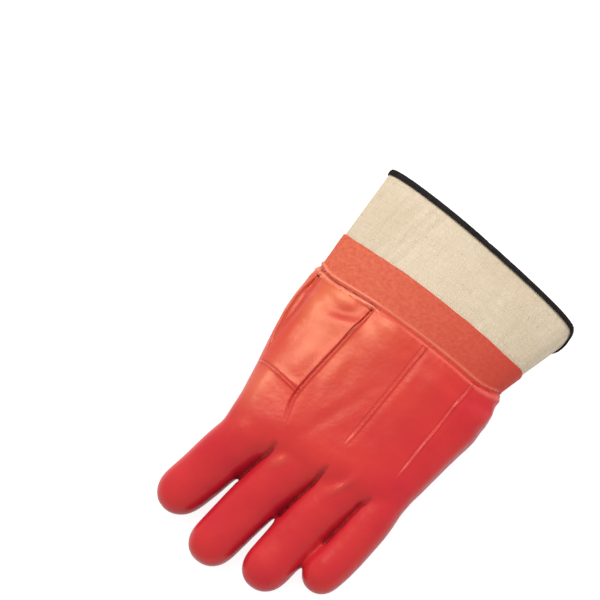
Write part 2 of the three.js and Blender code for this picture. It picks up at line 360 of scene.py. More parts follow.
seam_tree = tree_of([place for seam in seams.values() for place, _ in seam["laid"]])
with editing(hand) as bm:
    near = [
        face for face in bm.faces
        if face.normal.z > 0 and from_seams(face.calc_center_median()) < fine_reach
    ]
    edges = {edge for face in near for edge in face.edges}
    bmesh.ops.subdivide_edges(bm, edges=list(edges), cuts=fine_cuts, use_grid_fill=True)
    smooth_verts(bm, [vert for vert in bm.verts if from_seams(vert.co) < fine_reach])
    bmesh.ops.triangulate(bm, faces=[face for face in bm.faces if len(face.verts) > 4])
outside = outside_of(hand)
print(f"hand: {len(hand.data.polygons)} faces after the cuts")

# %% [markdown]
# ## The hand: swells and folds
# Soft goods are never even. Between its seams each panel swells like a small pillow, and where the
# glove bends there are dents and folds. These are moves of the vertices along their normals, each a
# smooth bump with a place, a size and a turn, in one table that can be read and changed.

# %% Swells, dents and folds on the back of the hand
# across, along: the middle, in shares of the hand's box. wide, long: its sizes in mm. turn: degrees,
# against the clock from above. lift: mm out of the skin, or into it where negative.
folds = [
    dict(across=0.915, along=0.160, wide=3.6, long=24, turn=8, lift=-2.2),
    dict(across=0.838, along=0.160, wide=6.0, long=13, turn=10, lift=1.1),
    dict(across=0.800, along=0.082, wide=10, long=6, turn=-20, lift=0.8),
    dict(across=0.735, along=0.130, wide=5.0, long=10, turn=-68, lift=-1.7),
    dict(across=0.742, along=0.300, wide=7.5, long=18, turn=0, lift=0.8),
    dict(across=0.675, along=0.070, wide=5.5, long=6, turn=0, lift=-0.9),
    dict(across=0.790, along=0.490, wide=7.0, long=18, turn=9, lift=1.4),
    dict(across=0.550, along=0.085, wide=9.0, long=7, turn=-20, lift=0.9),
    dict(across=0.595, along=0.280, wide=5.0, long=16, turn=8, lift=0.6),
    dict(across=0.470, along=0.400, wide=4.0, long=38, turn=-15, lift=-0.35),
    dict(across=0.529, along=0.640, wide=3.2, long=5, turn=-30, lift=1.2),
    dict(across=0.272, along=0.583, wide=2.2, long=8, turn=-21, lift=1.5),
    dict(across=0.230, along=0.330, wide=9.0, long=24, turn=0, lift=-0.5),
]
back_facing = (0.1, 0.6)
pillow_lift = 0.8 * MM
pillow_reach = 11 * MM
pillow_end = (0.38, 0.50)
ripple = 0.32 * MM
ripple_size = 24 * MM
ripple_from_ground = 8 * MM


def bump(places, across, along, wide, long, turn, lift):
    """How far one fold moves each place."""
    angle = math.radians(turn)
    x = (places[:, 0] - hand_low.x - across * hand_size.x) / MM
    y = (places[:, 1] - hand_low.y - along * hand_size.y) / MM
    sideways = x * math.cos(angle) + y * math.sin(angle)
    ahead = y * math.cos(angle) - x * math.sin(angle)
    return lift * MM * np.exp(-(sideways / wide) ** 2 - (ahead / long) ** 2)


def shape_back(piece, outside):
    """Adds the pillows, folds and ripples to the outside, and keeps the folds as "swell"."""
    places, normals = places_of(piece), normals_of(piece)
    on_back = ease(*back_facing, normals[:, 2]) * outside
    lift = sum(bump(places, **fold) for fold in folds)
    keep_attribute(piece, "swell", lift * on_back / MM)
    from_seam = np.array([from_seams(place) for place in places])
    before_fingers = 1 - ease(*pillow_end, (places[:, 1] - hand_low.y) / hand_size.y)
    lift += pillow_lift * (1 - bell(from_seam, pillow_reach)) * before_fingers
    lift *= on_back
    waves = np.array([noise.noise(Vector(place) / ripple_size) for place in places])
    lift += ripple * waves * outside * ease(0, ripple_from_ground, places[:, 2])
    move_to(piece, places + normals * lift[:, None])


shape_back(hand, outside)
print(f"{len(folds)} folds shaped")

# %% Raise the welts and press the grooves
welt_width = 0.85 * MM
groove_width = 0.52 * MM
groove_offset = 1.45 * MM
pucker = 0.22
pucker_pitch = 4.2 * MM
run_in = 6 * MM
seam_reach = 6 * MM


def sew(piece, outside):
    """Raises each seam's welt, presses its groove, and keeps the groove's depth as "crease"."""
    places, normals = places_of(piece), normals_of(piece)
    lift = np.zeros(len(places))
    depth = np.zeros(len(places))
    for name, seam in seams.items():
        laid = lay_on(piece, seam["route"])
        tree = tree_of([place for place, _ in laid])
        for i in np.flatnonzero(outside & (normals[:, 2] > 0)):
            _, nearest, gap = tree.find(places[i])
            if gap > seam_reach:
                continue
            place, left = laid[nearest]
            along = nearest * route_step
            share = nearest / (len(laid) - 1)
            strength = 1 - ease(1 - seam["fade"], 1.0, share) if seam["fade"] else 1
            off = (Vector(places[i]) - place).dot(left) * seam["groove_side"]
            past = math.sqrt(max(gap * gap - off * off, 0))
            strength *= bell(past, welt_width) * ease(0, run_in, along)
            # The length of the seam's name gives each seam puckers of its own.
            wave = 1 + pucker * noise.noise(Vector((along / pucker_pitch, len(name), 0)))
            pressed = strength * seam["groove"] * bell(off - groove_offset, groove_width)
            lift[i] += strength * wave * seam["ridge"] * bell(off, welt_width) - pressed
            depth[i] = max(depth[i], pressed / MM)
    move_to(piece, places + normals * lift[:, None])
    keep_attribute(piece, "crease", depth)


sew(hand, outside)
print("seams sewn")

# %% [markdown]
# Between two fingers the coating closes to a narrow line, painted dark as shade, before the gap opens.
# Each line is pressed straight down, and the fingers are eased away from it on both sides, more and more
# towards the tips.

# %% Press the lines between the fingers
# across, along: as on the seams. depth: mm, at the line. open: mm that each finger gives way at its tip.
# line_width, line_reach and on_line are in mm too. line_facing: the least z of a normal that is moved.
# line_shade: how much of the depth is kept as "crease", for the painted shade along the line.
finger_lines = {
    "index_middle": dict(
        route=[(0.602, 0.598), (0.607, 0.615), (0.612, 0.666), (0.622, 0.737)], depth=2.4, open=0.5),
    "middle_ring": dict(
        route=[(0.384, 0.556), (0.393, 0.575), (0.407, 0.644), (0.412, 0.746)], depth=2.6, open=0.4),
    "ring_little": dict(
        route=[(0.176, 0.546), (0.186, 0.566), (0.195, 0.643), (0.204, 0.730)], depth=2.2, open=0.4),
}
line_width = 1.2
line_reach = 6.0
line_run_in = 0.16
line_facing = -0.3
line_shade = 0.5
on_line = 0.05
valley_look = 4 * MM
valley_step = 0.5 * MM
valley_ease = 15


def down_the_valley(tree, plan):
    """The line moved sideways to the lowest skin near it, and smoothed."""
    sideways = np.arange(-valley_look, valley_look + valley_step, valley_step)
    found = []
    for x, y in plan:
        hits = [look_down(tree, x + dx, y)[0] for dx in sideways]
        heights = [hit.z if hit else 0 for hit in hits]
        found.append(sideways[int(np.argmin(heights))])
    found = np.pad(found, valley_ease // 2, mode="edge")
    found = np.convolve(found, np.ones(valley_ease) / valley_ease, mode="valid")
    return [Vector((x + dx, y, 0)) for (x, y), dx in zip(plan, found)]


def part_fingers(piece, outside):
    """Presses the lines, eases the fingers apart and adds the lines to "crease"."""
    places, normals = places_of(piece), normals_of(piece)
    depths = np.zeros(len(places))
    skin = skin_tree(piece)
    for line in finger_lines.values():
        plan = down_the_valley(skin, plan_of(line["route"]))
        tree = tree_of(plan)
        for i in np.flatnonzero(outside & (normals[:, 2] > line_facing)):
            flat = Vector((*places[i, :2], 0))
            nearest, index, gap = tree.find(flat)
            gap /= MM
            if gap > 3 * line_reach:
                continue
            share = index / (len(plan) - 1)
            pressed = min(1, share / line_run_in) * line["depth"] * bell(gap, line_width)
            places[i, 2] -= pressed * MM
            depths[i] = max(depths[i], line_shade * pressed)
            away = (flat - nearest).normalized() if gap > on_line else Vector()
            push = share * line["open"] * bell(gap, line_reach) * min(1, gap / line_width)
            places[i] += away * push * MM
    move_to(piece, places)
    raise_attribute(piece, "crease", depths)


part_fingers(hand, outside)
print(f"{len(finger_lines)} lines pressed")

# %% [markdown]
# The coating runs over the wrist edge on to the band. So the hand's edge is drawn out over the band, most
# at its two corners, is pressed down to it, and rises in a welt just before. The welt stands highest
# between the index finger's side and the seam beside it, where the photograph shows two bright ridges
# with a dark line between them. On the little finger's side the hand runs straight from the band to the
# palm: each fill there has its middle, measured from the edge, its reach and its height.

# %% Bring the wrist edge to the band
# Each pair goes from where an effect starts to where it is full. across: in shares of the hand's width,
# from the wrist's middle. facing: how far the skin's normal points up, or out from the wrist's middle.
edge_stretch = 1.3 * MM
edge_stretch_reach = 6 * MM
corner_stretch = 1.0
corner_across = (0.32, 0.43)
edge_drop = 1.2 * MM
edge_drop_reach = 9 * MM
index_drop = 1.5 * MM
index_across = (0.40, 0.48)
drop_facing_out = (0, 0.4)
drop_facing_up = (-0.6, 0.6)
skin_facing_out = 0.2
edge_welt = 1.6 * MM
edge_welt_at = 2.3 * MM
edge_welt_width = 0.9 * MM
weak_welt = 0.45
strong_welt = (hand_low.x + 0.61 * hand_size.x, hand_low.x + 0.67 * hand_size.x)
little_side = (-0.95, 0, -0.32)
side_fills = [(9 * MM, 7 * MM, 2.4 * MM), (22 * MM, 7 * MM, -1.4 * MM)]
fill_facing = (0.1, 0.8)
wrist_middle = np.array((hand_low + hand_high) / 2)


def welt_strength(places):
    """How strong the wrist welt is at each place: full on the index finger's side."""
    return weak_welt + (1 - weak_welt) * ease(*strong_welt, places[:, 0])


def across_wrist(places):
    """How far each place lies to the side of the wrist's middle, in shares of the hand's width."""
    return (places[:, 0] - wrist_middle[0]) / hand_size.x


places, normals = places_of(hand), normals_of(hand)
from_edge = wrist_line(places)
radial = (places - wrist_middle) * (1, 0, hand_flatness)
facing_out = (normals * radial).sum(axis=1) / np.linalg.norm(radial, axis=1)
skin = outside | (from_edge < edge_reach) & (facing_out > skin_facing_out)
welt = bell(from_edge - edge_welt_at, edge_welt_width)
drop = edge_drop + index_drop * ease(*index_across, across_wrist(places))
drop *= (1 - ease(0, edge_drop_reach, from_edge)) * ease(*drop_facing_out, facing_out)
lift = edge_welt * welt * welt_strength(places) - drop * ease(*drop_facing_up, normals[:, 2])
places += normals * (lift * skin)[:, None]
stretch = edge_stretch * (1 + corner_stretch * ease(*corner_across, np.abs(across_wrist(places))))
places[:, 1] -= stretch * (1 - ease(0, edge_stretch_reach, from_edge))
fill = sum(height * bell(from_edge - at, reach) for at, reach, height in side_fills)
fill *= outside * ease(*fill_facing, normals @ little_side)
places += np.array(little_side) * fill[:, None]
places[:, 2] = np.maximum(places[:, 2], 0)
move_to(hand, places)
print(f"wrist edge: {(skin & (from_edge < edge_drop_reach)).sum()} vertices of skin near it")

# %% [markdown]
# The edge's two corners are smoothed round. Then three numbers are kept for the materials: "ridge" is the
# top of the welt, which gets a painted highlight, "crease" also gets a painted shade line along the edge,
# and "side" is 1 where the skin faces sideways or down, which gets painted shade.

# %% Round the corners and mark the skin
corner_reach = 3.0 * MM
corner_from = 0.42
corner_rounds = 6
painted_edge_shade = 1.1
painted_edge_shade_width = 0.8 * MM
line_from_welt = (0.4, 1.0)
ridge_facing = (0, 0.4)
hand_side_facing = (-0.05, 0.62)

at_corner = (from_edge < corner_reach) & (np.abs(across_wrist(places)) > corner_from)
with editing(hand) as bm:
    bm.verts.ensure_lookup_table()
    corners = [bm.verts[int(i)] for i in np.flatnonzero(at_corner)]
    for _ in range(corner_rounds):
        smooth_verts(bm, corners)

ridge = welt * welt_strength(places) * skin
# Kept for a painted highlight on the top of the welt.
keep_attribute(hand, "ridge", ridge * ease(*ridge_facing, normals[:, 2]))
# A painted shade line along the wrist edge, where the hand steps down to the band; it is added to
# "crease".
line = painted_edge_shade * bell(from_edge, painted_edge_shade_width) * ease(*line_from_welt, welt_strength(places))
raise_attribute(hand, "crease", line)
# Kept for painted shade on skin that faces sideways or down.
keep_attribute(hand, "side", 1 - ease(*hand_side_facing, normals_of(hand)[:, 2]))
print(f"corners: {len(corners)} vertices smoothed")

# %% [markdown]
# The inside is seen only through the cuff, so it needs few faces. A Decimate modifier that works on a
# vertex group thins it and leaves the outside alone.

# %% Thin the inside
inside_share = 0.62
inside_from = 6 * MM
group_weight = 1000

thinned = np.flatnonzero(~outside & (from_edge > inside_from))
hand.vertex_groups.new(name="inside").add([int(i) for i in thinned], 1.0, "REPLACE")
add_modifier(
    hand, "DECIMATE", ratio=inside_share, vertex_group="inside", vertex_group_factor=group_weight)
apply_modifiers(hand)
print(f"hand: {sum(len(face.vertices) - 2 for face in hand.data.polygons)} triangles")

# %% [markdown]
# ## The cuff, the band and the binding
# The three sleeves are solids with straight walls between few rings. Joining their triangles to quads
# and subdividing them gives round sleeves. A crease on the sharp corners keeps the ends of the canvas
# and the band where they are. The binding has none, because folded tape is round all over.

# %% A smooth sleeve from a solid
join_angle = math.radians(80)
corner_angle = math.radians(50)
sleeve_levels = 2


def sharp_corner(edge):
    """True where the two faces of an edge meet at a corner."""
    return len(edge.link_faces) == 2 and edge.calc_face_angle() > corner_angle


def smooth_sleeve(node, name, is_end):
    """A welded copy of a sleeve's solid, subdivided, with the edges that is_end names kept in place."""
    piece = copy_of(node, name)
    with editing(piece) as bm:
        bmesh.ops.join_triangles(
            bm, faces=bm.faces, angle_face_threshold=join_angle, angle_shape_threshold=math.pi)
        crease = bm.edges.layers.float.new("crease_edge")
        for edge in bm.edges:
            if is_end(edge):
                edge[crease] = 1
        quads = sum(len(face.verts) == 4 for face in bm.faces)
        print(f"{name}: {quads} quads of {len(bm.faces)} faces")
    add_modifier(piece, "SUBSURF", levels=sleeve_levels, render_levels=sleeve_levels)
    apply_modifiers(piece)
    return piece


canvas = smooth_sleeve("safety_cuff", "canvas_cuff", sharp_corner)
band = smooth_sleeve("cuff_band", "band_coating", sharp_corner)
binding = smooth_sleeve("cuff_binding", "rim_binding", lambda edge: False)

# %% [markdown]
# Cloth and threads need to know how far round the sleeve they lie. The rim's outline gives that: its
# length is added up against the angle round the middle, and any other place is read off by its angle.

# %% Lengths round the cuff
canvas_low, canvas_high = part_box("safety_cuff")
cuff_middle = (canvas_low + canvas_high) / 2
cuff_flatness = (canvas_high.x - canvas_low.x) / (canvas_high.z - canvas_low.z)
outline_parts = 120
rim_share = 0.2


def angle_round(places):
    """Each place's angle round the cuff's middle, in turns from 0 to 1."""
    across = places[:, 0] - cuff_middle.x
    up = (places[:, 2] - cuff_middle.z) * cuff_flatness
    return (np.arctan2(up, across) / (2 * np.pi)) % 1


def cuff_outline():
    """The angles and lengths round the rim, from its outermost vertex in each part of a turn."""
    places = places_of(canvas)
    turn = angle_round(places)
    reach = np.hypot(places[:, 0] - cuff_middle.x, places[:, 2] - cuff_middle.z)
    on_rim = places[:, 1] < np.quantile(places[:, 1], rim_share)
    edges = np.linspace(0, 1, outline_parts + 1)
    points = []
    for low, high in zip(edges, edges[1:]):
        here = np.flatnonzero(on_rim & (turn >= low) & (turn < high))
        if len(here):
            points.append(here[reach[here].argmax()])
    points = np.array(points)[np.argsort(turn[points])]
    ring = places[points][:, [0, 2]]
    steps = np.hypot(*(np.roll(ring, -1, axis=0) - ring).T)
    lengths = np.concatenate([[0], np.cumsum(steps)])
    turns = np.concatenate([turn[points], [turn[points][0] + 1]])
    return turns, lengths


outline_turns, outline_lengths = cuff_outline()
rim_round = outline_lengths[-1]


def length_round(places):
    """How far round the rim each place lies."""
    turn = angle_round(places)
    turn = np.where(turn < outline_turns[0], turn + 1, turn)
    return np.interp(turn, outline_turns, outline_lengths)


def outward(places, normals):
    """How far each normal points away from the cuff's middle, from -1 to 1."""
    radial = (places - np.array(cuff_middle)) * (1, 0, cuff_flatness)
    radial /= np.linalg.norm(radial, axis=1)[:, None]
    return (normals * radial).sum(axis=1)


print(f"rim: {rim_round / MM:.0f} mm round")

# %% Helpers for cutting strips
nearly_parallel = 0.75


def way_of(edge):
    """The direction in which an edge runs."""
    return (edge.verts[1].co - edge.verts[0].co).normalized()


def along_cuff(edge):
    """True for an edge that runs from the hand to the rim."""
    return abs(way_of(edge).y) > nearly_parallel


def along_rim(edge):
    """True for an edge that runs round the cuff."""
    middle = (edge.verts[0].co + edge.verts[1].co) / 2 - cuff_middle
    tangent = Vector((-middle.z * cuff_flatness, 0, middle.x / cuff_flatness)).normalized()
    return abs(way_of(edge).dot(tangent)) > nearly_parallel


def cut_edges(piece, wanted, cuts):
    """Cuts the edges that are wanted, and so the faces beside them, into finer strips."""
    with editing(piece) as bm:
        found = [edge for edge in bm.edges if wanted(edge)]
        bmesh.ops.subdivide_edges(bm, edges=found, cuts=cuts)
    print(f"{piece.name}: {len(found)} edges cut")


# %% [markdown]
# The band was dipped, so its edge on the canvas wavers a little. Beside the hand it rises in the second
# of the two ridges.

# %% Shape the band
dip_wave = 0.45 * MM
dip_wave_size = 9 * MM
dip_reach = 12 * MM
band_welt = 0.9 * MM
band_welt_at = 2.1 * MM
band_welt_width = 0.9 * MM
band_facing_out = (0.2, 0.8)
band_side_facing = (-0.10, 0.55)
band_cuts = 7

cut_edges(band, along_cuff, band_cuts)
places, normals = places_of(band), normals_of(band)
turn = (angle_round(places) * turn_steps).astype(int) % turn_steps
low = np.full(turn_steps, np.inf)
high = np.full(turn_steps, -np.inf)
np.minimum.at(low, turn, places[:, 1])
np.maximum.at(high, turn, places[:, 1])
to_hand = high[turn] - places[:, 1]
to_canvas = places[:, 1] - low[turn]
welt = bell(to_hand - band_welt_at, band_welt_width) * welt_strength(places)
facing = ease(*band_facing_out, outward(places, normals))
waver = np.array([noise.noise(Vector((x, z, 0.5)) / dip_wave_size) for x, _, z in places])
places += normals * (welt * band_welt * facing)[:, None]
places[:, 1] += dip_wave * waver * (1 - ease(0, dip_reach, to_canvas))
move_to(band, places)
# Kept for a painted highlight on the top of the band's welt.
keep_attribute(band, "ridge", welt * facing * ease(*ridge_facing, normals[:, 2]))
# Kept for painted shade on the band where it faces sideways or down.
keep_attribute(band, "side", 1 - ease(*band_side_facing, normals[:, 2]))

# %% [markdown]
# The binding is a dark tape held by close, wrapped thread. The threads are real ribs: the rim is cut into
# thin slices, which are raised along each thread, so the edge looks finely toothed.

# %% Wind the thread round the binding
rib_pitch = 1.35 * MM
rib_height = 0.30 * MM
rib_foot = 0.6
rib_slant = 0.5
rib_change = 0.5
change_pitch = 3 * rib_pitch
slimmer = 0.15 * MM
rim_cuts = 3

move_to(binding, places_of(binding) - normals_of(binding) * slimmer)
cut_edges(binding, along_rim, rim_cuts)
places, normals = places_of(binding), normals_of(binding)
along = length_round(places) + rib_slant * places[:, 1]
ribs = np.abs(np.sin(np.pi * along / rib_pitch)) - rib_foot
loose = np.array([noise.noise(Vector((s / change_pitch, 0, 0))) for s in along])
move_to(binding, places + normals * (rib_height * ribs * (1 + rib_change * loose))[:, None])
for piece in (canvas, band, binding):
    print(piece.name, len(piece.data.polygons), "faces")

# %% Lay the cloth's threads round the cuff
with editing(canvas) as bm:
    lengths = length_round(np.array([vert.co for vert in bm.verts]))
    cloth_uv = bm.loops.layers.uv.new("cloth")
    for face in bm.faces:
        round_face = [lengths[loop.vert.index] for loop in face.loops]
        for loop, length in zip(face.loops, round_face):
            if max(round_face) - length > rim_round / 2:
                length += rim_round
            loop[cloth_uv].uv = (length / MM, loop.vert.co.y / MM)
print(f"cloth: {len(canvas.data.polygons)} faces laid out")

# %% [markdown]
# ## Materials
# Each finish is a small graph of nodes on a Principled BSDF. What several finishes need, such as a
# mottled colour, a fine grain or a weave, is a node group that is built once and placed in each with
# Patterns read Object coordinates, or the cloth's own UV map, so they stay on the glove from any side.
# The kept numbers tell where painted highlights go, on fold crests and the welt's ridge, and where
# painted shade goes, in hollows, creases and on skin that faces sideways.

# %% Helpers for nodes
def connect(tree, socket, value):
    """Links a node's output to the socket, or sets the socket to a number, vector or colour."""
    if isinstance(value, bpy.types.NodeSocket):
        tree.links.new(value, socket)
    else:
        socket.default_value = (*value, 1) if socket.type == "RGBA" else value


def feed(tree, sockets, **values):
    """Connects the sockets that are named, with a space for each underscore."""
    for name, value in values.items():
        connect(tree, sockets[name.replace("_", " ")], value)


def node(tree, kind, **values):
    """Adds a node and feeds its inputs."""
    made = tree.nodes.new(kind)
    feed(tree, made.inputs, **values)
    return made


def math_node(tree, operation, *values):
    """A math node's result."""
    made = tree.nodes.new("ShaderNodeMath")
    made.operation = operation
    for socket, value in zip(made.inputs, values):
        connect(tree, socket, value)
    return made.outputs["Value"]


def share_of_way(tree, value, start, end, low=0.0, high=1.0):
    """How far a value has come from start to end, from 0 to 1 or from low to high."""
    made = node(tree, "ShaderNodeMapRange", Value=value, From_Min=start, From_Max=end, To_Min=low,
                To_Max=high)
    return made.outputs["Result"]


def noise_node(tree, **values):
    """A noise texture's result."""
    return node(tree, "ShaderNodeTexNoise", **values).outputs["Fac"]


def mix_colour(tree, share, first, second):
    """Two colours mixed by a share."""
    made = tree.nodes.new("ShaderNodeMix")
    made.data_type = "RGBA"
    for index, value in ((0, share), (6, first), (7, second)):
        connect(tree, made.inputs[index], value)
    return made.outputs[2]


# %% Helpers for groups
def new_group(name, inputs, outputs):
    """An empty shader group with these sockets, and its ends."""
    tree = bpy.data.node_groups.new(name, "ShaderNodeTree")
    for socket_name, kind in inputs:
        tree.interface.new_socket(socket_name, in_out="INPUT", socket_type=kind)
    for socket_name, kind in outputs:
        tree.interface.new_socket(socket_name, in_out="OUTPUT", socket_type=kind)
    return tree, tree.nodes.new("NodeGroupInput").outputs, tree.nodes.new("NodeGroupOutput").inputs


def place_group(tree, group, **values):
    """Places a group in a material and feeds its inputs."""
    made = tree.nodes.new("ShaderNodeGroup")
    made.node_tree = group
    feed(tree, made.inputs, **values)
    return made.outputs


# %% The mottle and the grain
mottle, given, result = new_group(
    "mottle",
    [("Vector", "NodeSocketVector"), ("Scale", "NodeSocketFloat"), ("Dark", "NodeSocketColor"),
     ("Light", "NodeSocketColor")],
    [("Color", "NodeSocketColor")],
)
clouds = noise_node(mottle, Vector=given["Vector"], Scale=given["Scale"], Detail=4.0, Roughness=0.55)
spread = share_of_way(mottle, clouds, 0.32, 0.68)
feed(mottle, result, Color=mix_colour(mottle, spread, given["Dark"], given["Light"]))

grain, given, result = new_group(
    "grain",
    [("Vector", "NodeSocketVector"), ("Scale", "NodeSocketFloat")],
    [("Height", "NodeSocketFloat")],
)
fine = noise_node(grain, Vector=given["Vector"], Scale=given["Scale"], Detail=3.0)
pores = node(grain, "ShaderNodeTexVoronoi", Vector=given["Vector"], Scale=given["Scale"])
pore_depth = 0.35
feed(grain, result, Height=math_node(
    grain, "MULTIPLY_ADD", pores.outputs["Distance"], pore_depth, fine))
print("groups:", [group.name for group in bpy.data.node_groups])

# %% The weave
# Warp and weft take turns to lie on top, as on a chessboard. Slubs are threads that are thick for a
# stretch: noise that is drawn out along one of the two ways.
weave, given, result = new_group(
    "weave",
    [("Vector", "NodeSocketVector"), ("Threads", "NodeSocketFloat")],
    [("Height", "NodeSocketFloat"), ("Slubs", "NodeSocketFloat")],
)
slub_ways = ((0.06, 1.0, 1.0), (1.0, 0.06, 1.0))
scaled = node(weave, "ShaderNodeVectorMath", Vector=given["Vector"])
scaled.operation = "SCALE"
feed(weave, scaled.inputs, Scale=given["Threads"])
axes = node(weave, "ShaderNodeSeparateXYZ", Vector=scaled.outputs["Vector"])


def round_threads(way):
    """The height of round threads side by side: 0 between them and 1 on top."""
    angle = math_node(weave, "MULTIPLY", way, math.pi)
    return math_node(weave, "ABSOLUTE", math_node(weave, "SINE", angle))


columns = math_node(weave, "FLOOR", axes.outputs["X"])
rows = math_node(weave, "FLOOR", axes.outputs["Y"])
over = math_node(weave, "PINGPONG", math_node(weave, "ADD", columns, rows), 1.0)
under = math_node(weave, "SUBTRACT", 1.0, over)
warp = math_node(weave, "MULTIPLY", round_threads(axes.outputs["X"]), over)
weft = math_node(weave, "MULTIPLY", round_threads(axes.outputs["Y"]), under)
thick_threads = []
for way in slub_ways:
    stretched = node(weave, "ShaderNodeVectorMath", Vector=scaled.outputs["Vector"])
    stretched.operation = "MULTIPLY"
    stretched.inputs[1].default_value = way
    strands = noise_node(weave, Vector=stretched.outputs["Vector"], Scale=0.8, Detail=1.0)
    thick_threads.append(share_of_way(weave, strands, 0.45, 0.75))
feed(weave, result, Height=math_node(weave, "ADD", warp, weft),
     Slubs=math_node(weave, "MAXIMUM", *thick_threads))
print("weave:", len(weave.nodes), "nodes")

# %% Helpers for materials
def new_material(name):
    """A material with its tree, its Principled BSDF's inputs and its Object coordinates."""
    made = bpy.data.materials.new(name)
    made.use_nodes = True
    tree = made.node_tree
    place = tree.nodes.new("ShaderNodeTexCoord").outputs["Object"]
    return made, tree, tree.nodes["Principled BSDF"].inputs, place


def attribute_value(tree, name, factor):
    """A kept attribute, multiplied by a factor."""
    kept = tree.nodes.new("ShaderNodeAttribute")
    kept.attribute_name = name
    return math_node(tree, "MULTIPLY", kept.outputs["Fac"], factor)


def bump_normal(tree, height, distance, **under):
    """The normal that a height gives, on top of the one that Normal names, if any."""
    return node(tree, "ShaderNodeBump", Height=height, Distance=distance, **under).outputs["Normal"]


def dipped_normal(tree, place, grain_scale, grain_depth, wave_scale, wave_depth):
    """The normal of a dipped coating: a fine grain under soft waves."""
    peel = place_group(tree, grain, Vector=place, Scale=grain_scale)
    fine = bump_normal(tree, peel["Height"], grain_depth)
    waves = noise_node(tree, Vector=place, Scale=wave_scale, Detail=2.0)
    return bump_normal(tree, waves, wave_depth, Normal=fine)


# %% The coated hand
# The red is painted warmer towards the wrist and the index finger's side, as in the photograph: painted
# light on the side that the lamp lights best. Each span goes from where that starts to where it is full,
# in metres.
wrist_span, index_span = (0.085, -0.040), (-0.060, 0.060)
painted_light_orange, painted_crest_highlight, painted_hollow_shade = (0.50, 0.068, 0.024), (0.70, 0.24, 0.12), (0.43, 0.014, 0.012)
painted_side_shade, painted_crease_shade, painted_ridge_highlight = (0.27, 0.004, 0.022), (0.23, 0.005, 0.012), (0.75, 0.24, 0.15)
swell_highlight, hollow_shade, deepest_hollow = 0.24, -0.45, 0.75
side_shade, crease_shade, deepest_crease, ridge_highlight = 0.85, 0.68, 0.85, 0.70

coated, tree, shader, place = new_material("coated_pvc")
tint = place_group(tree, mottle, Vector=place, Scale=34.0, Dark=(0.47, 0.008, 0.023),
                   Light=(0.53, 0.017, 0.023))
sides = node(tree, "ShaderNodeSeparateXYZ", Vector=place)
to_wrist = share_of_way(tree, sides.outputs["Y"], *wrist_span)
to_index = share_of_way(tree, sides.outputs["X"], *index_span)
# Painted light: the lit wrist and index side is painted a warmer orange red.
painted_light_share = math_node(tree, "MULTIPLY", to_wrist, to_index)
colour = mix_colour(tree, painted_light_share, tint["Color"], painted_light_orange)
# Painted highlight: the crests of the folds are painted paler, most on the index finger's side.
crest_highlight = math_node(tree, "MULTIPLY", attribute_value(tree, "swell", swell_highlight), to_index)
colour = mix_colour(tree, math_node(tree, "MAXIMUM", crest_highlight, 0), colour, painted_crest_highlight)
# Painted shade: the hollows of the folds are painted a deeper red.
hollow = math_node(tree, "MAXIMUM", attribute_value(tree, "swell", hollow_shade), 0)
hollow = math_node(tree, "MINIMUM", hollow, deepest_hollow)
colour = mix_colour(tree, hollow, colour, painted_hollow_shade)
# Painted shade: skin that faces sideways or down is painted a dark maroon.
colour = mix_colour(tree, attribute_value(tree, "side", side_shade), colour, painted_side_shade)
# Painted shade: the seams' grooves, the lines between the fingers and the line along the wrist edge are
# painted dark maroon.
pressed = math_node(tree, "MINIMUM", attribute_value(tree, "crease", crease_shade), deepest_crease)
colour = mix_colour(tree, pressed, colour, painted_crease_shade)
# Painted highlight: the top of the welt is painted a pale pink.
ridge_highlighted = mix_colour(tree, attribute_value(tree, "ridge", ridge_highlight), colour, painted_ridge_highlight)
patches = noise_node(tree, Vector=place, Scale=55.0, Detail=3.0)
feed(tree, shader, Base_Color=ridge_highlighted, Specular_IOR_Level=0.43, Specular_Tint=(1.0, 0.72, 0.46),
     Roughness=share_of_way(tree, patches, 0.3, 0.7, low=0.27, high=0.38),
     Normal=dipped_normal(tree, place, grain_scale=420.0, grain_depth=0.04 * MM, wave_scale=110.0,
                          wave_depth=0.3 * MM))
print(coated.name, len(tree.nodes), "nodes")

# %% The coated band
# It is matt, and is painted a cooler red towards the little finger's side: painted shade on the side away
# from the lamp.
little_span = (0.060, -0.065)
painted_cool_shade, band_painted_side_shade, band_painted_ridge_highlight = (0.42, 0.024, 0.020), (0.30, 0.010, 0.020), (0.75, 0.22, 0.14)
cool_shade, band_side_shade, band_ridge_highlight = 0.70, 0.60, 0.85

banded, tree, shader, place = new_material("band_pvc")
tint = place_group(tree, mottle, Vector=place, Scale=420.0, Dark=(0.45, 0.062, 0.032),
                   Light=(0.54, 0.108, 0.052))
sides = node(tree, "ShaderNodeSeparateXYZ", Vector=place)
to_little = share_of_way(tree, sides.outputs["X"], *little_span)
# Painted shade: the little finger's side of the band is painted a cooler, darker red.
little_side_shade = math_node(tree, "MULTIPLY", to_little, cool_shade)
colour = mix_colour(tree, little_side_shade, tint["Color"], painted_cool_shade)
# Painted shade: the band's sideways and downward faces are painted a darker red.
side = attribute_value(tree, "side", band_side_shade)
colour = mix_colour(tree, side, colour, band_painted_side_shade)
# Painted highlight: the top of the band's welt is painted a pale pink.
ridge_highlighted = mix_colour(tree, attribute_value(tree, "ridge", band_ridge_highlight), colour, band_painted_ridge_highlight)
feed(tree, shader, Base_Color=ridge_highlighted, Roughness=0.60, Specular_IOR_Level=0.35,
     Specular_Tint=(1.0, 0.7, 0.5),
     Normal=dipped_normal(tree, place, grain_scale=600.0, grain_depth=0.16 * MM, wave_scale=140.0,
                          wave_depth=0.4 * MM))
print(banded.name, len(tree.nodes), "nodes")

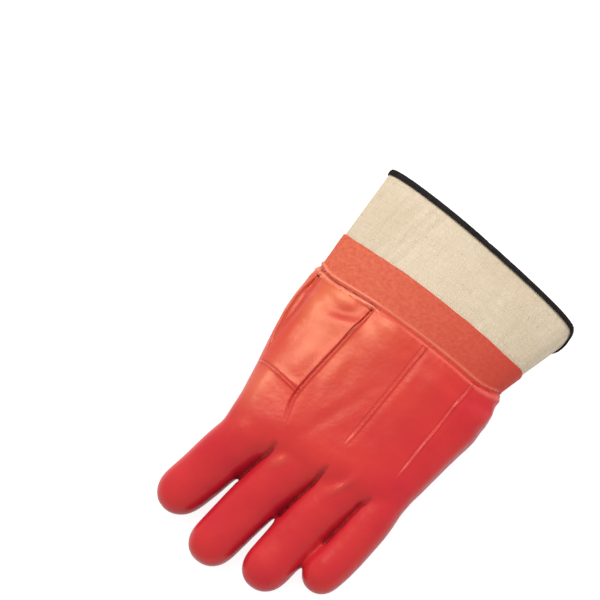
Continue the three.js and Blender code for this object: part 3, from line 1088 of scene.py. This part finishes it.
# %% The canvas
# Unbleached cotton: uneven cream, darker along thick threads, with brown flecks of seed.
threads_per_mm = 1.5
slub_tan, seed_brown = (0.46, 0.36, 0.245), (0.30, 0.20, 0.11)
slub_shade, fleck_shade = 0.40, 0.38

cloth, tree, shader, place = new_material("cotton_canvas")
on_cloth = tree.nodes.new("ShaderNodeUVMap")
on_cloth.uv_map = "cloth"
tint = place_group(tree, mottle, Vector=place, Scale=30.0, Dark=(0.65, 0.53, 0.380),
                   Light=(0.71, 0.59, 0.440))
threads = place_group(tree, weave, Vector=on_cloth.outputs["UV"], Threads=threads_per_mm)
slubs = math_node(tree, "MULTIPLY", threads["Slubs"], slub_shade)
colour = mix_colour(tree, slubs, tint["Color"], slub_tan)
seeds = noise_node(tree, Vector=place, Scale=520.0, Detail=1.0)
flecks = math_node(tree, "MULTIPLY", share_of_way(tree, seeds, 0.70, 0.76), fleck_shade)
feed(tree, shader, Base_Color=mix_colour(tree, flecks, colour, seed_brown),
     Roughness=0.92, Specular_IOR_Level=0.2,
     Normal=bump_normal(tree, threads["Height"], 0.20 * MM))
print(cloth.name, len(tree.nodes), "nodes")

# %% The binding
tape, tree, shader, place = new_material("binding_tape")
tint = place_group(tree, mottle, Vector=place, Scale=300.0, Dark=(0.004, 0.003, 0.003),
                   Light=(0.014, 0.010, 0.010))
peel = place_group(tree, grain, Vector=place, Scale=1500.0)
feed(tree, shader, Base_Color=tint["Color"], Roughness=0.80, Specular_IOR_Level=0.15,
     Normal=bump_normal(tree, peel["Height"], 0.15 * MM))
print(tape.name, len(tree.nodes), "nodes")

# %% Put the materials on
for piece, material in ((hand, coated), (band, banded), (canvas, cloth), (binding, tape)):
    piece.data.materials.clear()
    piece.data.materials.append(material)
    piece.data.shade_smooth()

# %% [markdown]
# ## Join the pieces to the frame
# Each piece stands for its solid and rides on the frame's one body.

# %% Ride and replace
for piece, solid, slot in (
    (hand, "hand", "pvc_coating"),
    (band, "cuff_band", "band_coating"),
    (canvas, "safety_cuff", "canvas"),
    (binding, "cuff_binding", "binding"),
):
    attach(piece, "root")
    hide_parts(solid)

# %% [markdown]
# ## Floor and light
# The photograph is a bright studio shot with hardly a shadow, as on a light table. The floor therefore
# glows, and a pale world fills. One soft light stands beyond the cuff, across from the camera, where the
# back of the hand mirrors it to the camera: that draws the broad highlights near the wrist and leaves
# the fingers, which bend down towards the camera, in their own deep red.

# %% The floor
floor_half = 6
floor_gap = 0.1 * MM

floor = bpy.data.objects.new("floor", bpy.data.meshes.new("floor"))
bpy.context.scene.collection.objects.link(floor)
with editing(floor) as bm:
    bmesh.ops.create_grid(bm, x_segments=1, y_segments=1, size=floor_half)
floor.location.z = -floor_gap
paper, tree, shader, _ = new_material("floor_paper")
feed(tree, shader, Base_Color=(0.30, 0.30, 0.30), Roughness=0.9, Specular_IOR_Level=0.1,
     Emission_Color=(1, 1, 1), Emission_Strength=0.86)
floor.data.materials.append(paper)
print(f"floor: {2 * floor_half} m wide")

# %% The lights
def soft_light(name, direction, away, size, power, colour):
    """An area light that looks at the glove from so far away."""
    data = bpy.data.lights.new(name, "AREA")
    data.size = size
    data.energy = power
    data.color = colour
    lamp = bpy.data.objects.new(name, data)
    direction = Vector(direction).normalized()
    lamp.location = direction * away
    lamp.rotation_mode = "QUATERNION"
    lamp.rotation_quaternion = direction.to_track_quat("Z", "Y")
    bpy.context.scene.collection.objects.link(lamp)
    print(f"{name}: {power} W, {away} m away")


soft_light("key", direction=(0.36, -0.52, 0.78), away=1.4, size=0.70, power=14.5,
           colour=(1.0, 0.97, 0.91))
world = bpy.data.worlds.new("studio")
world.use_nodes = True
sky = world.node_tree
feed(sky, sky.nodes["Background"].inputs, Color=(0.95, 0.97, 1.0), Strength=0.95)
bpy.context.scene.world = world
bpy.context.scene.view_settings.view_transform = "Standard"
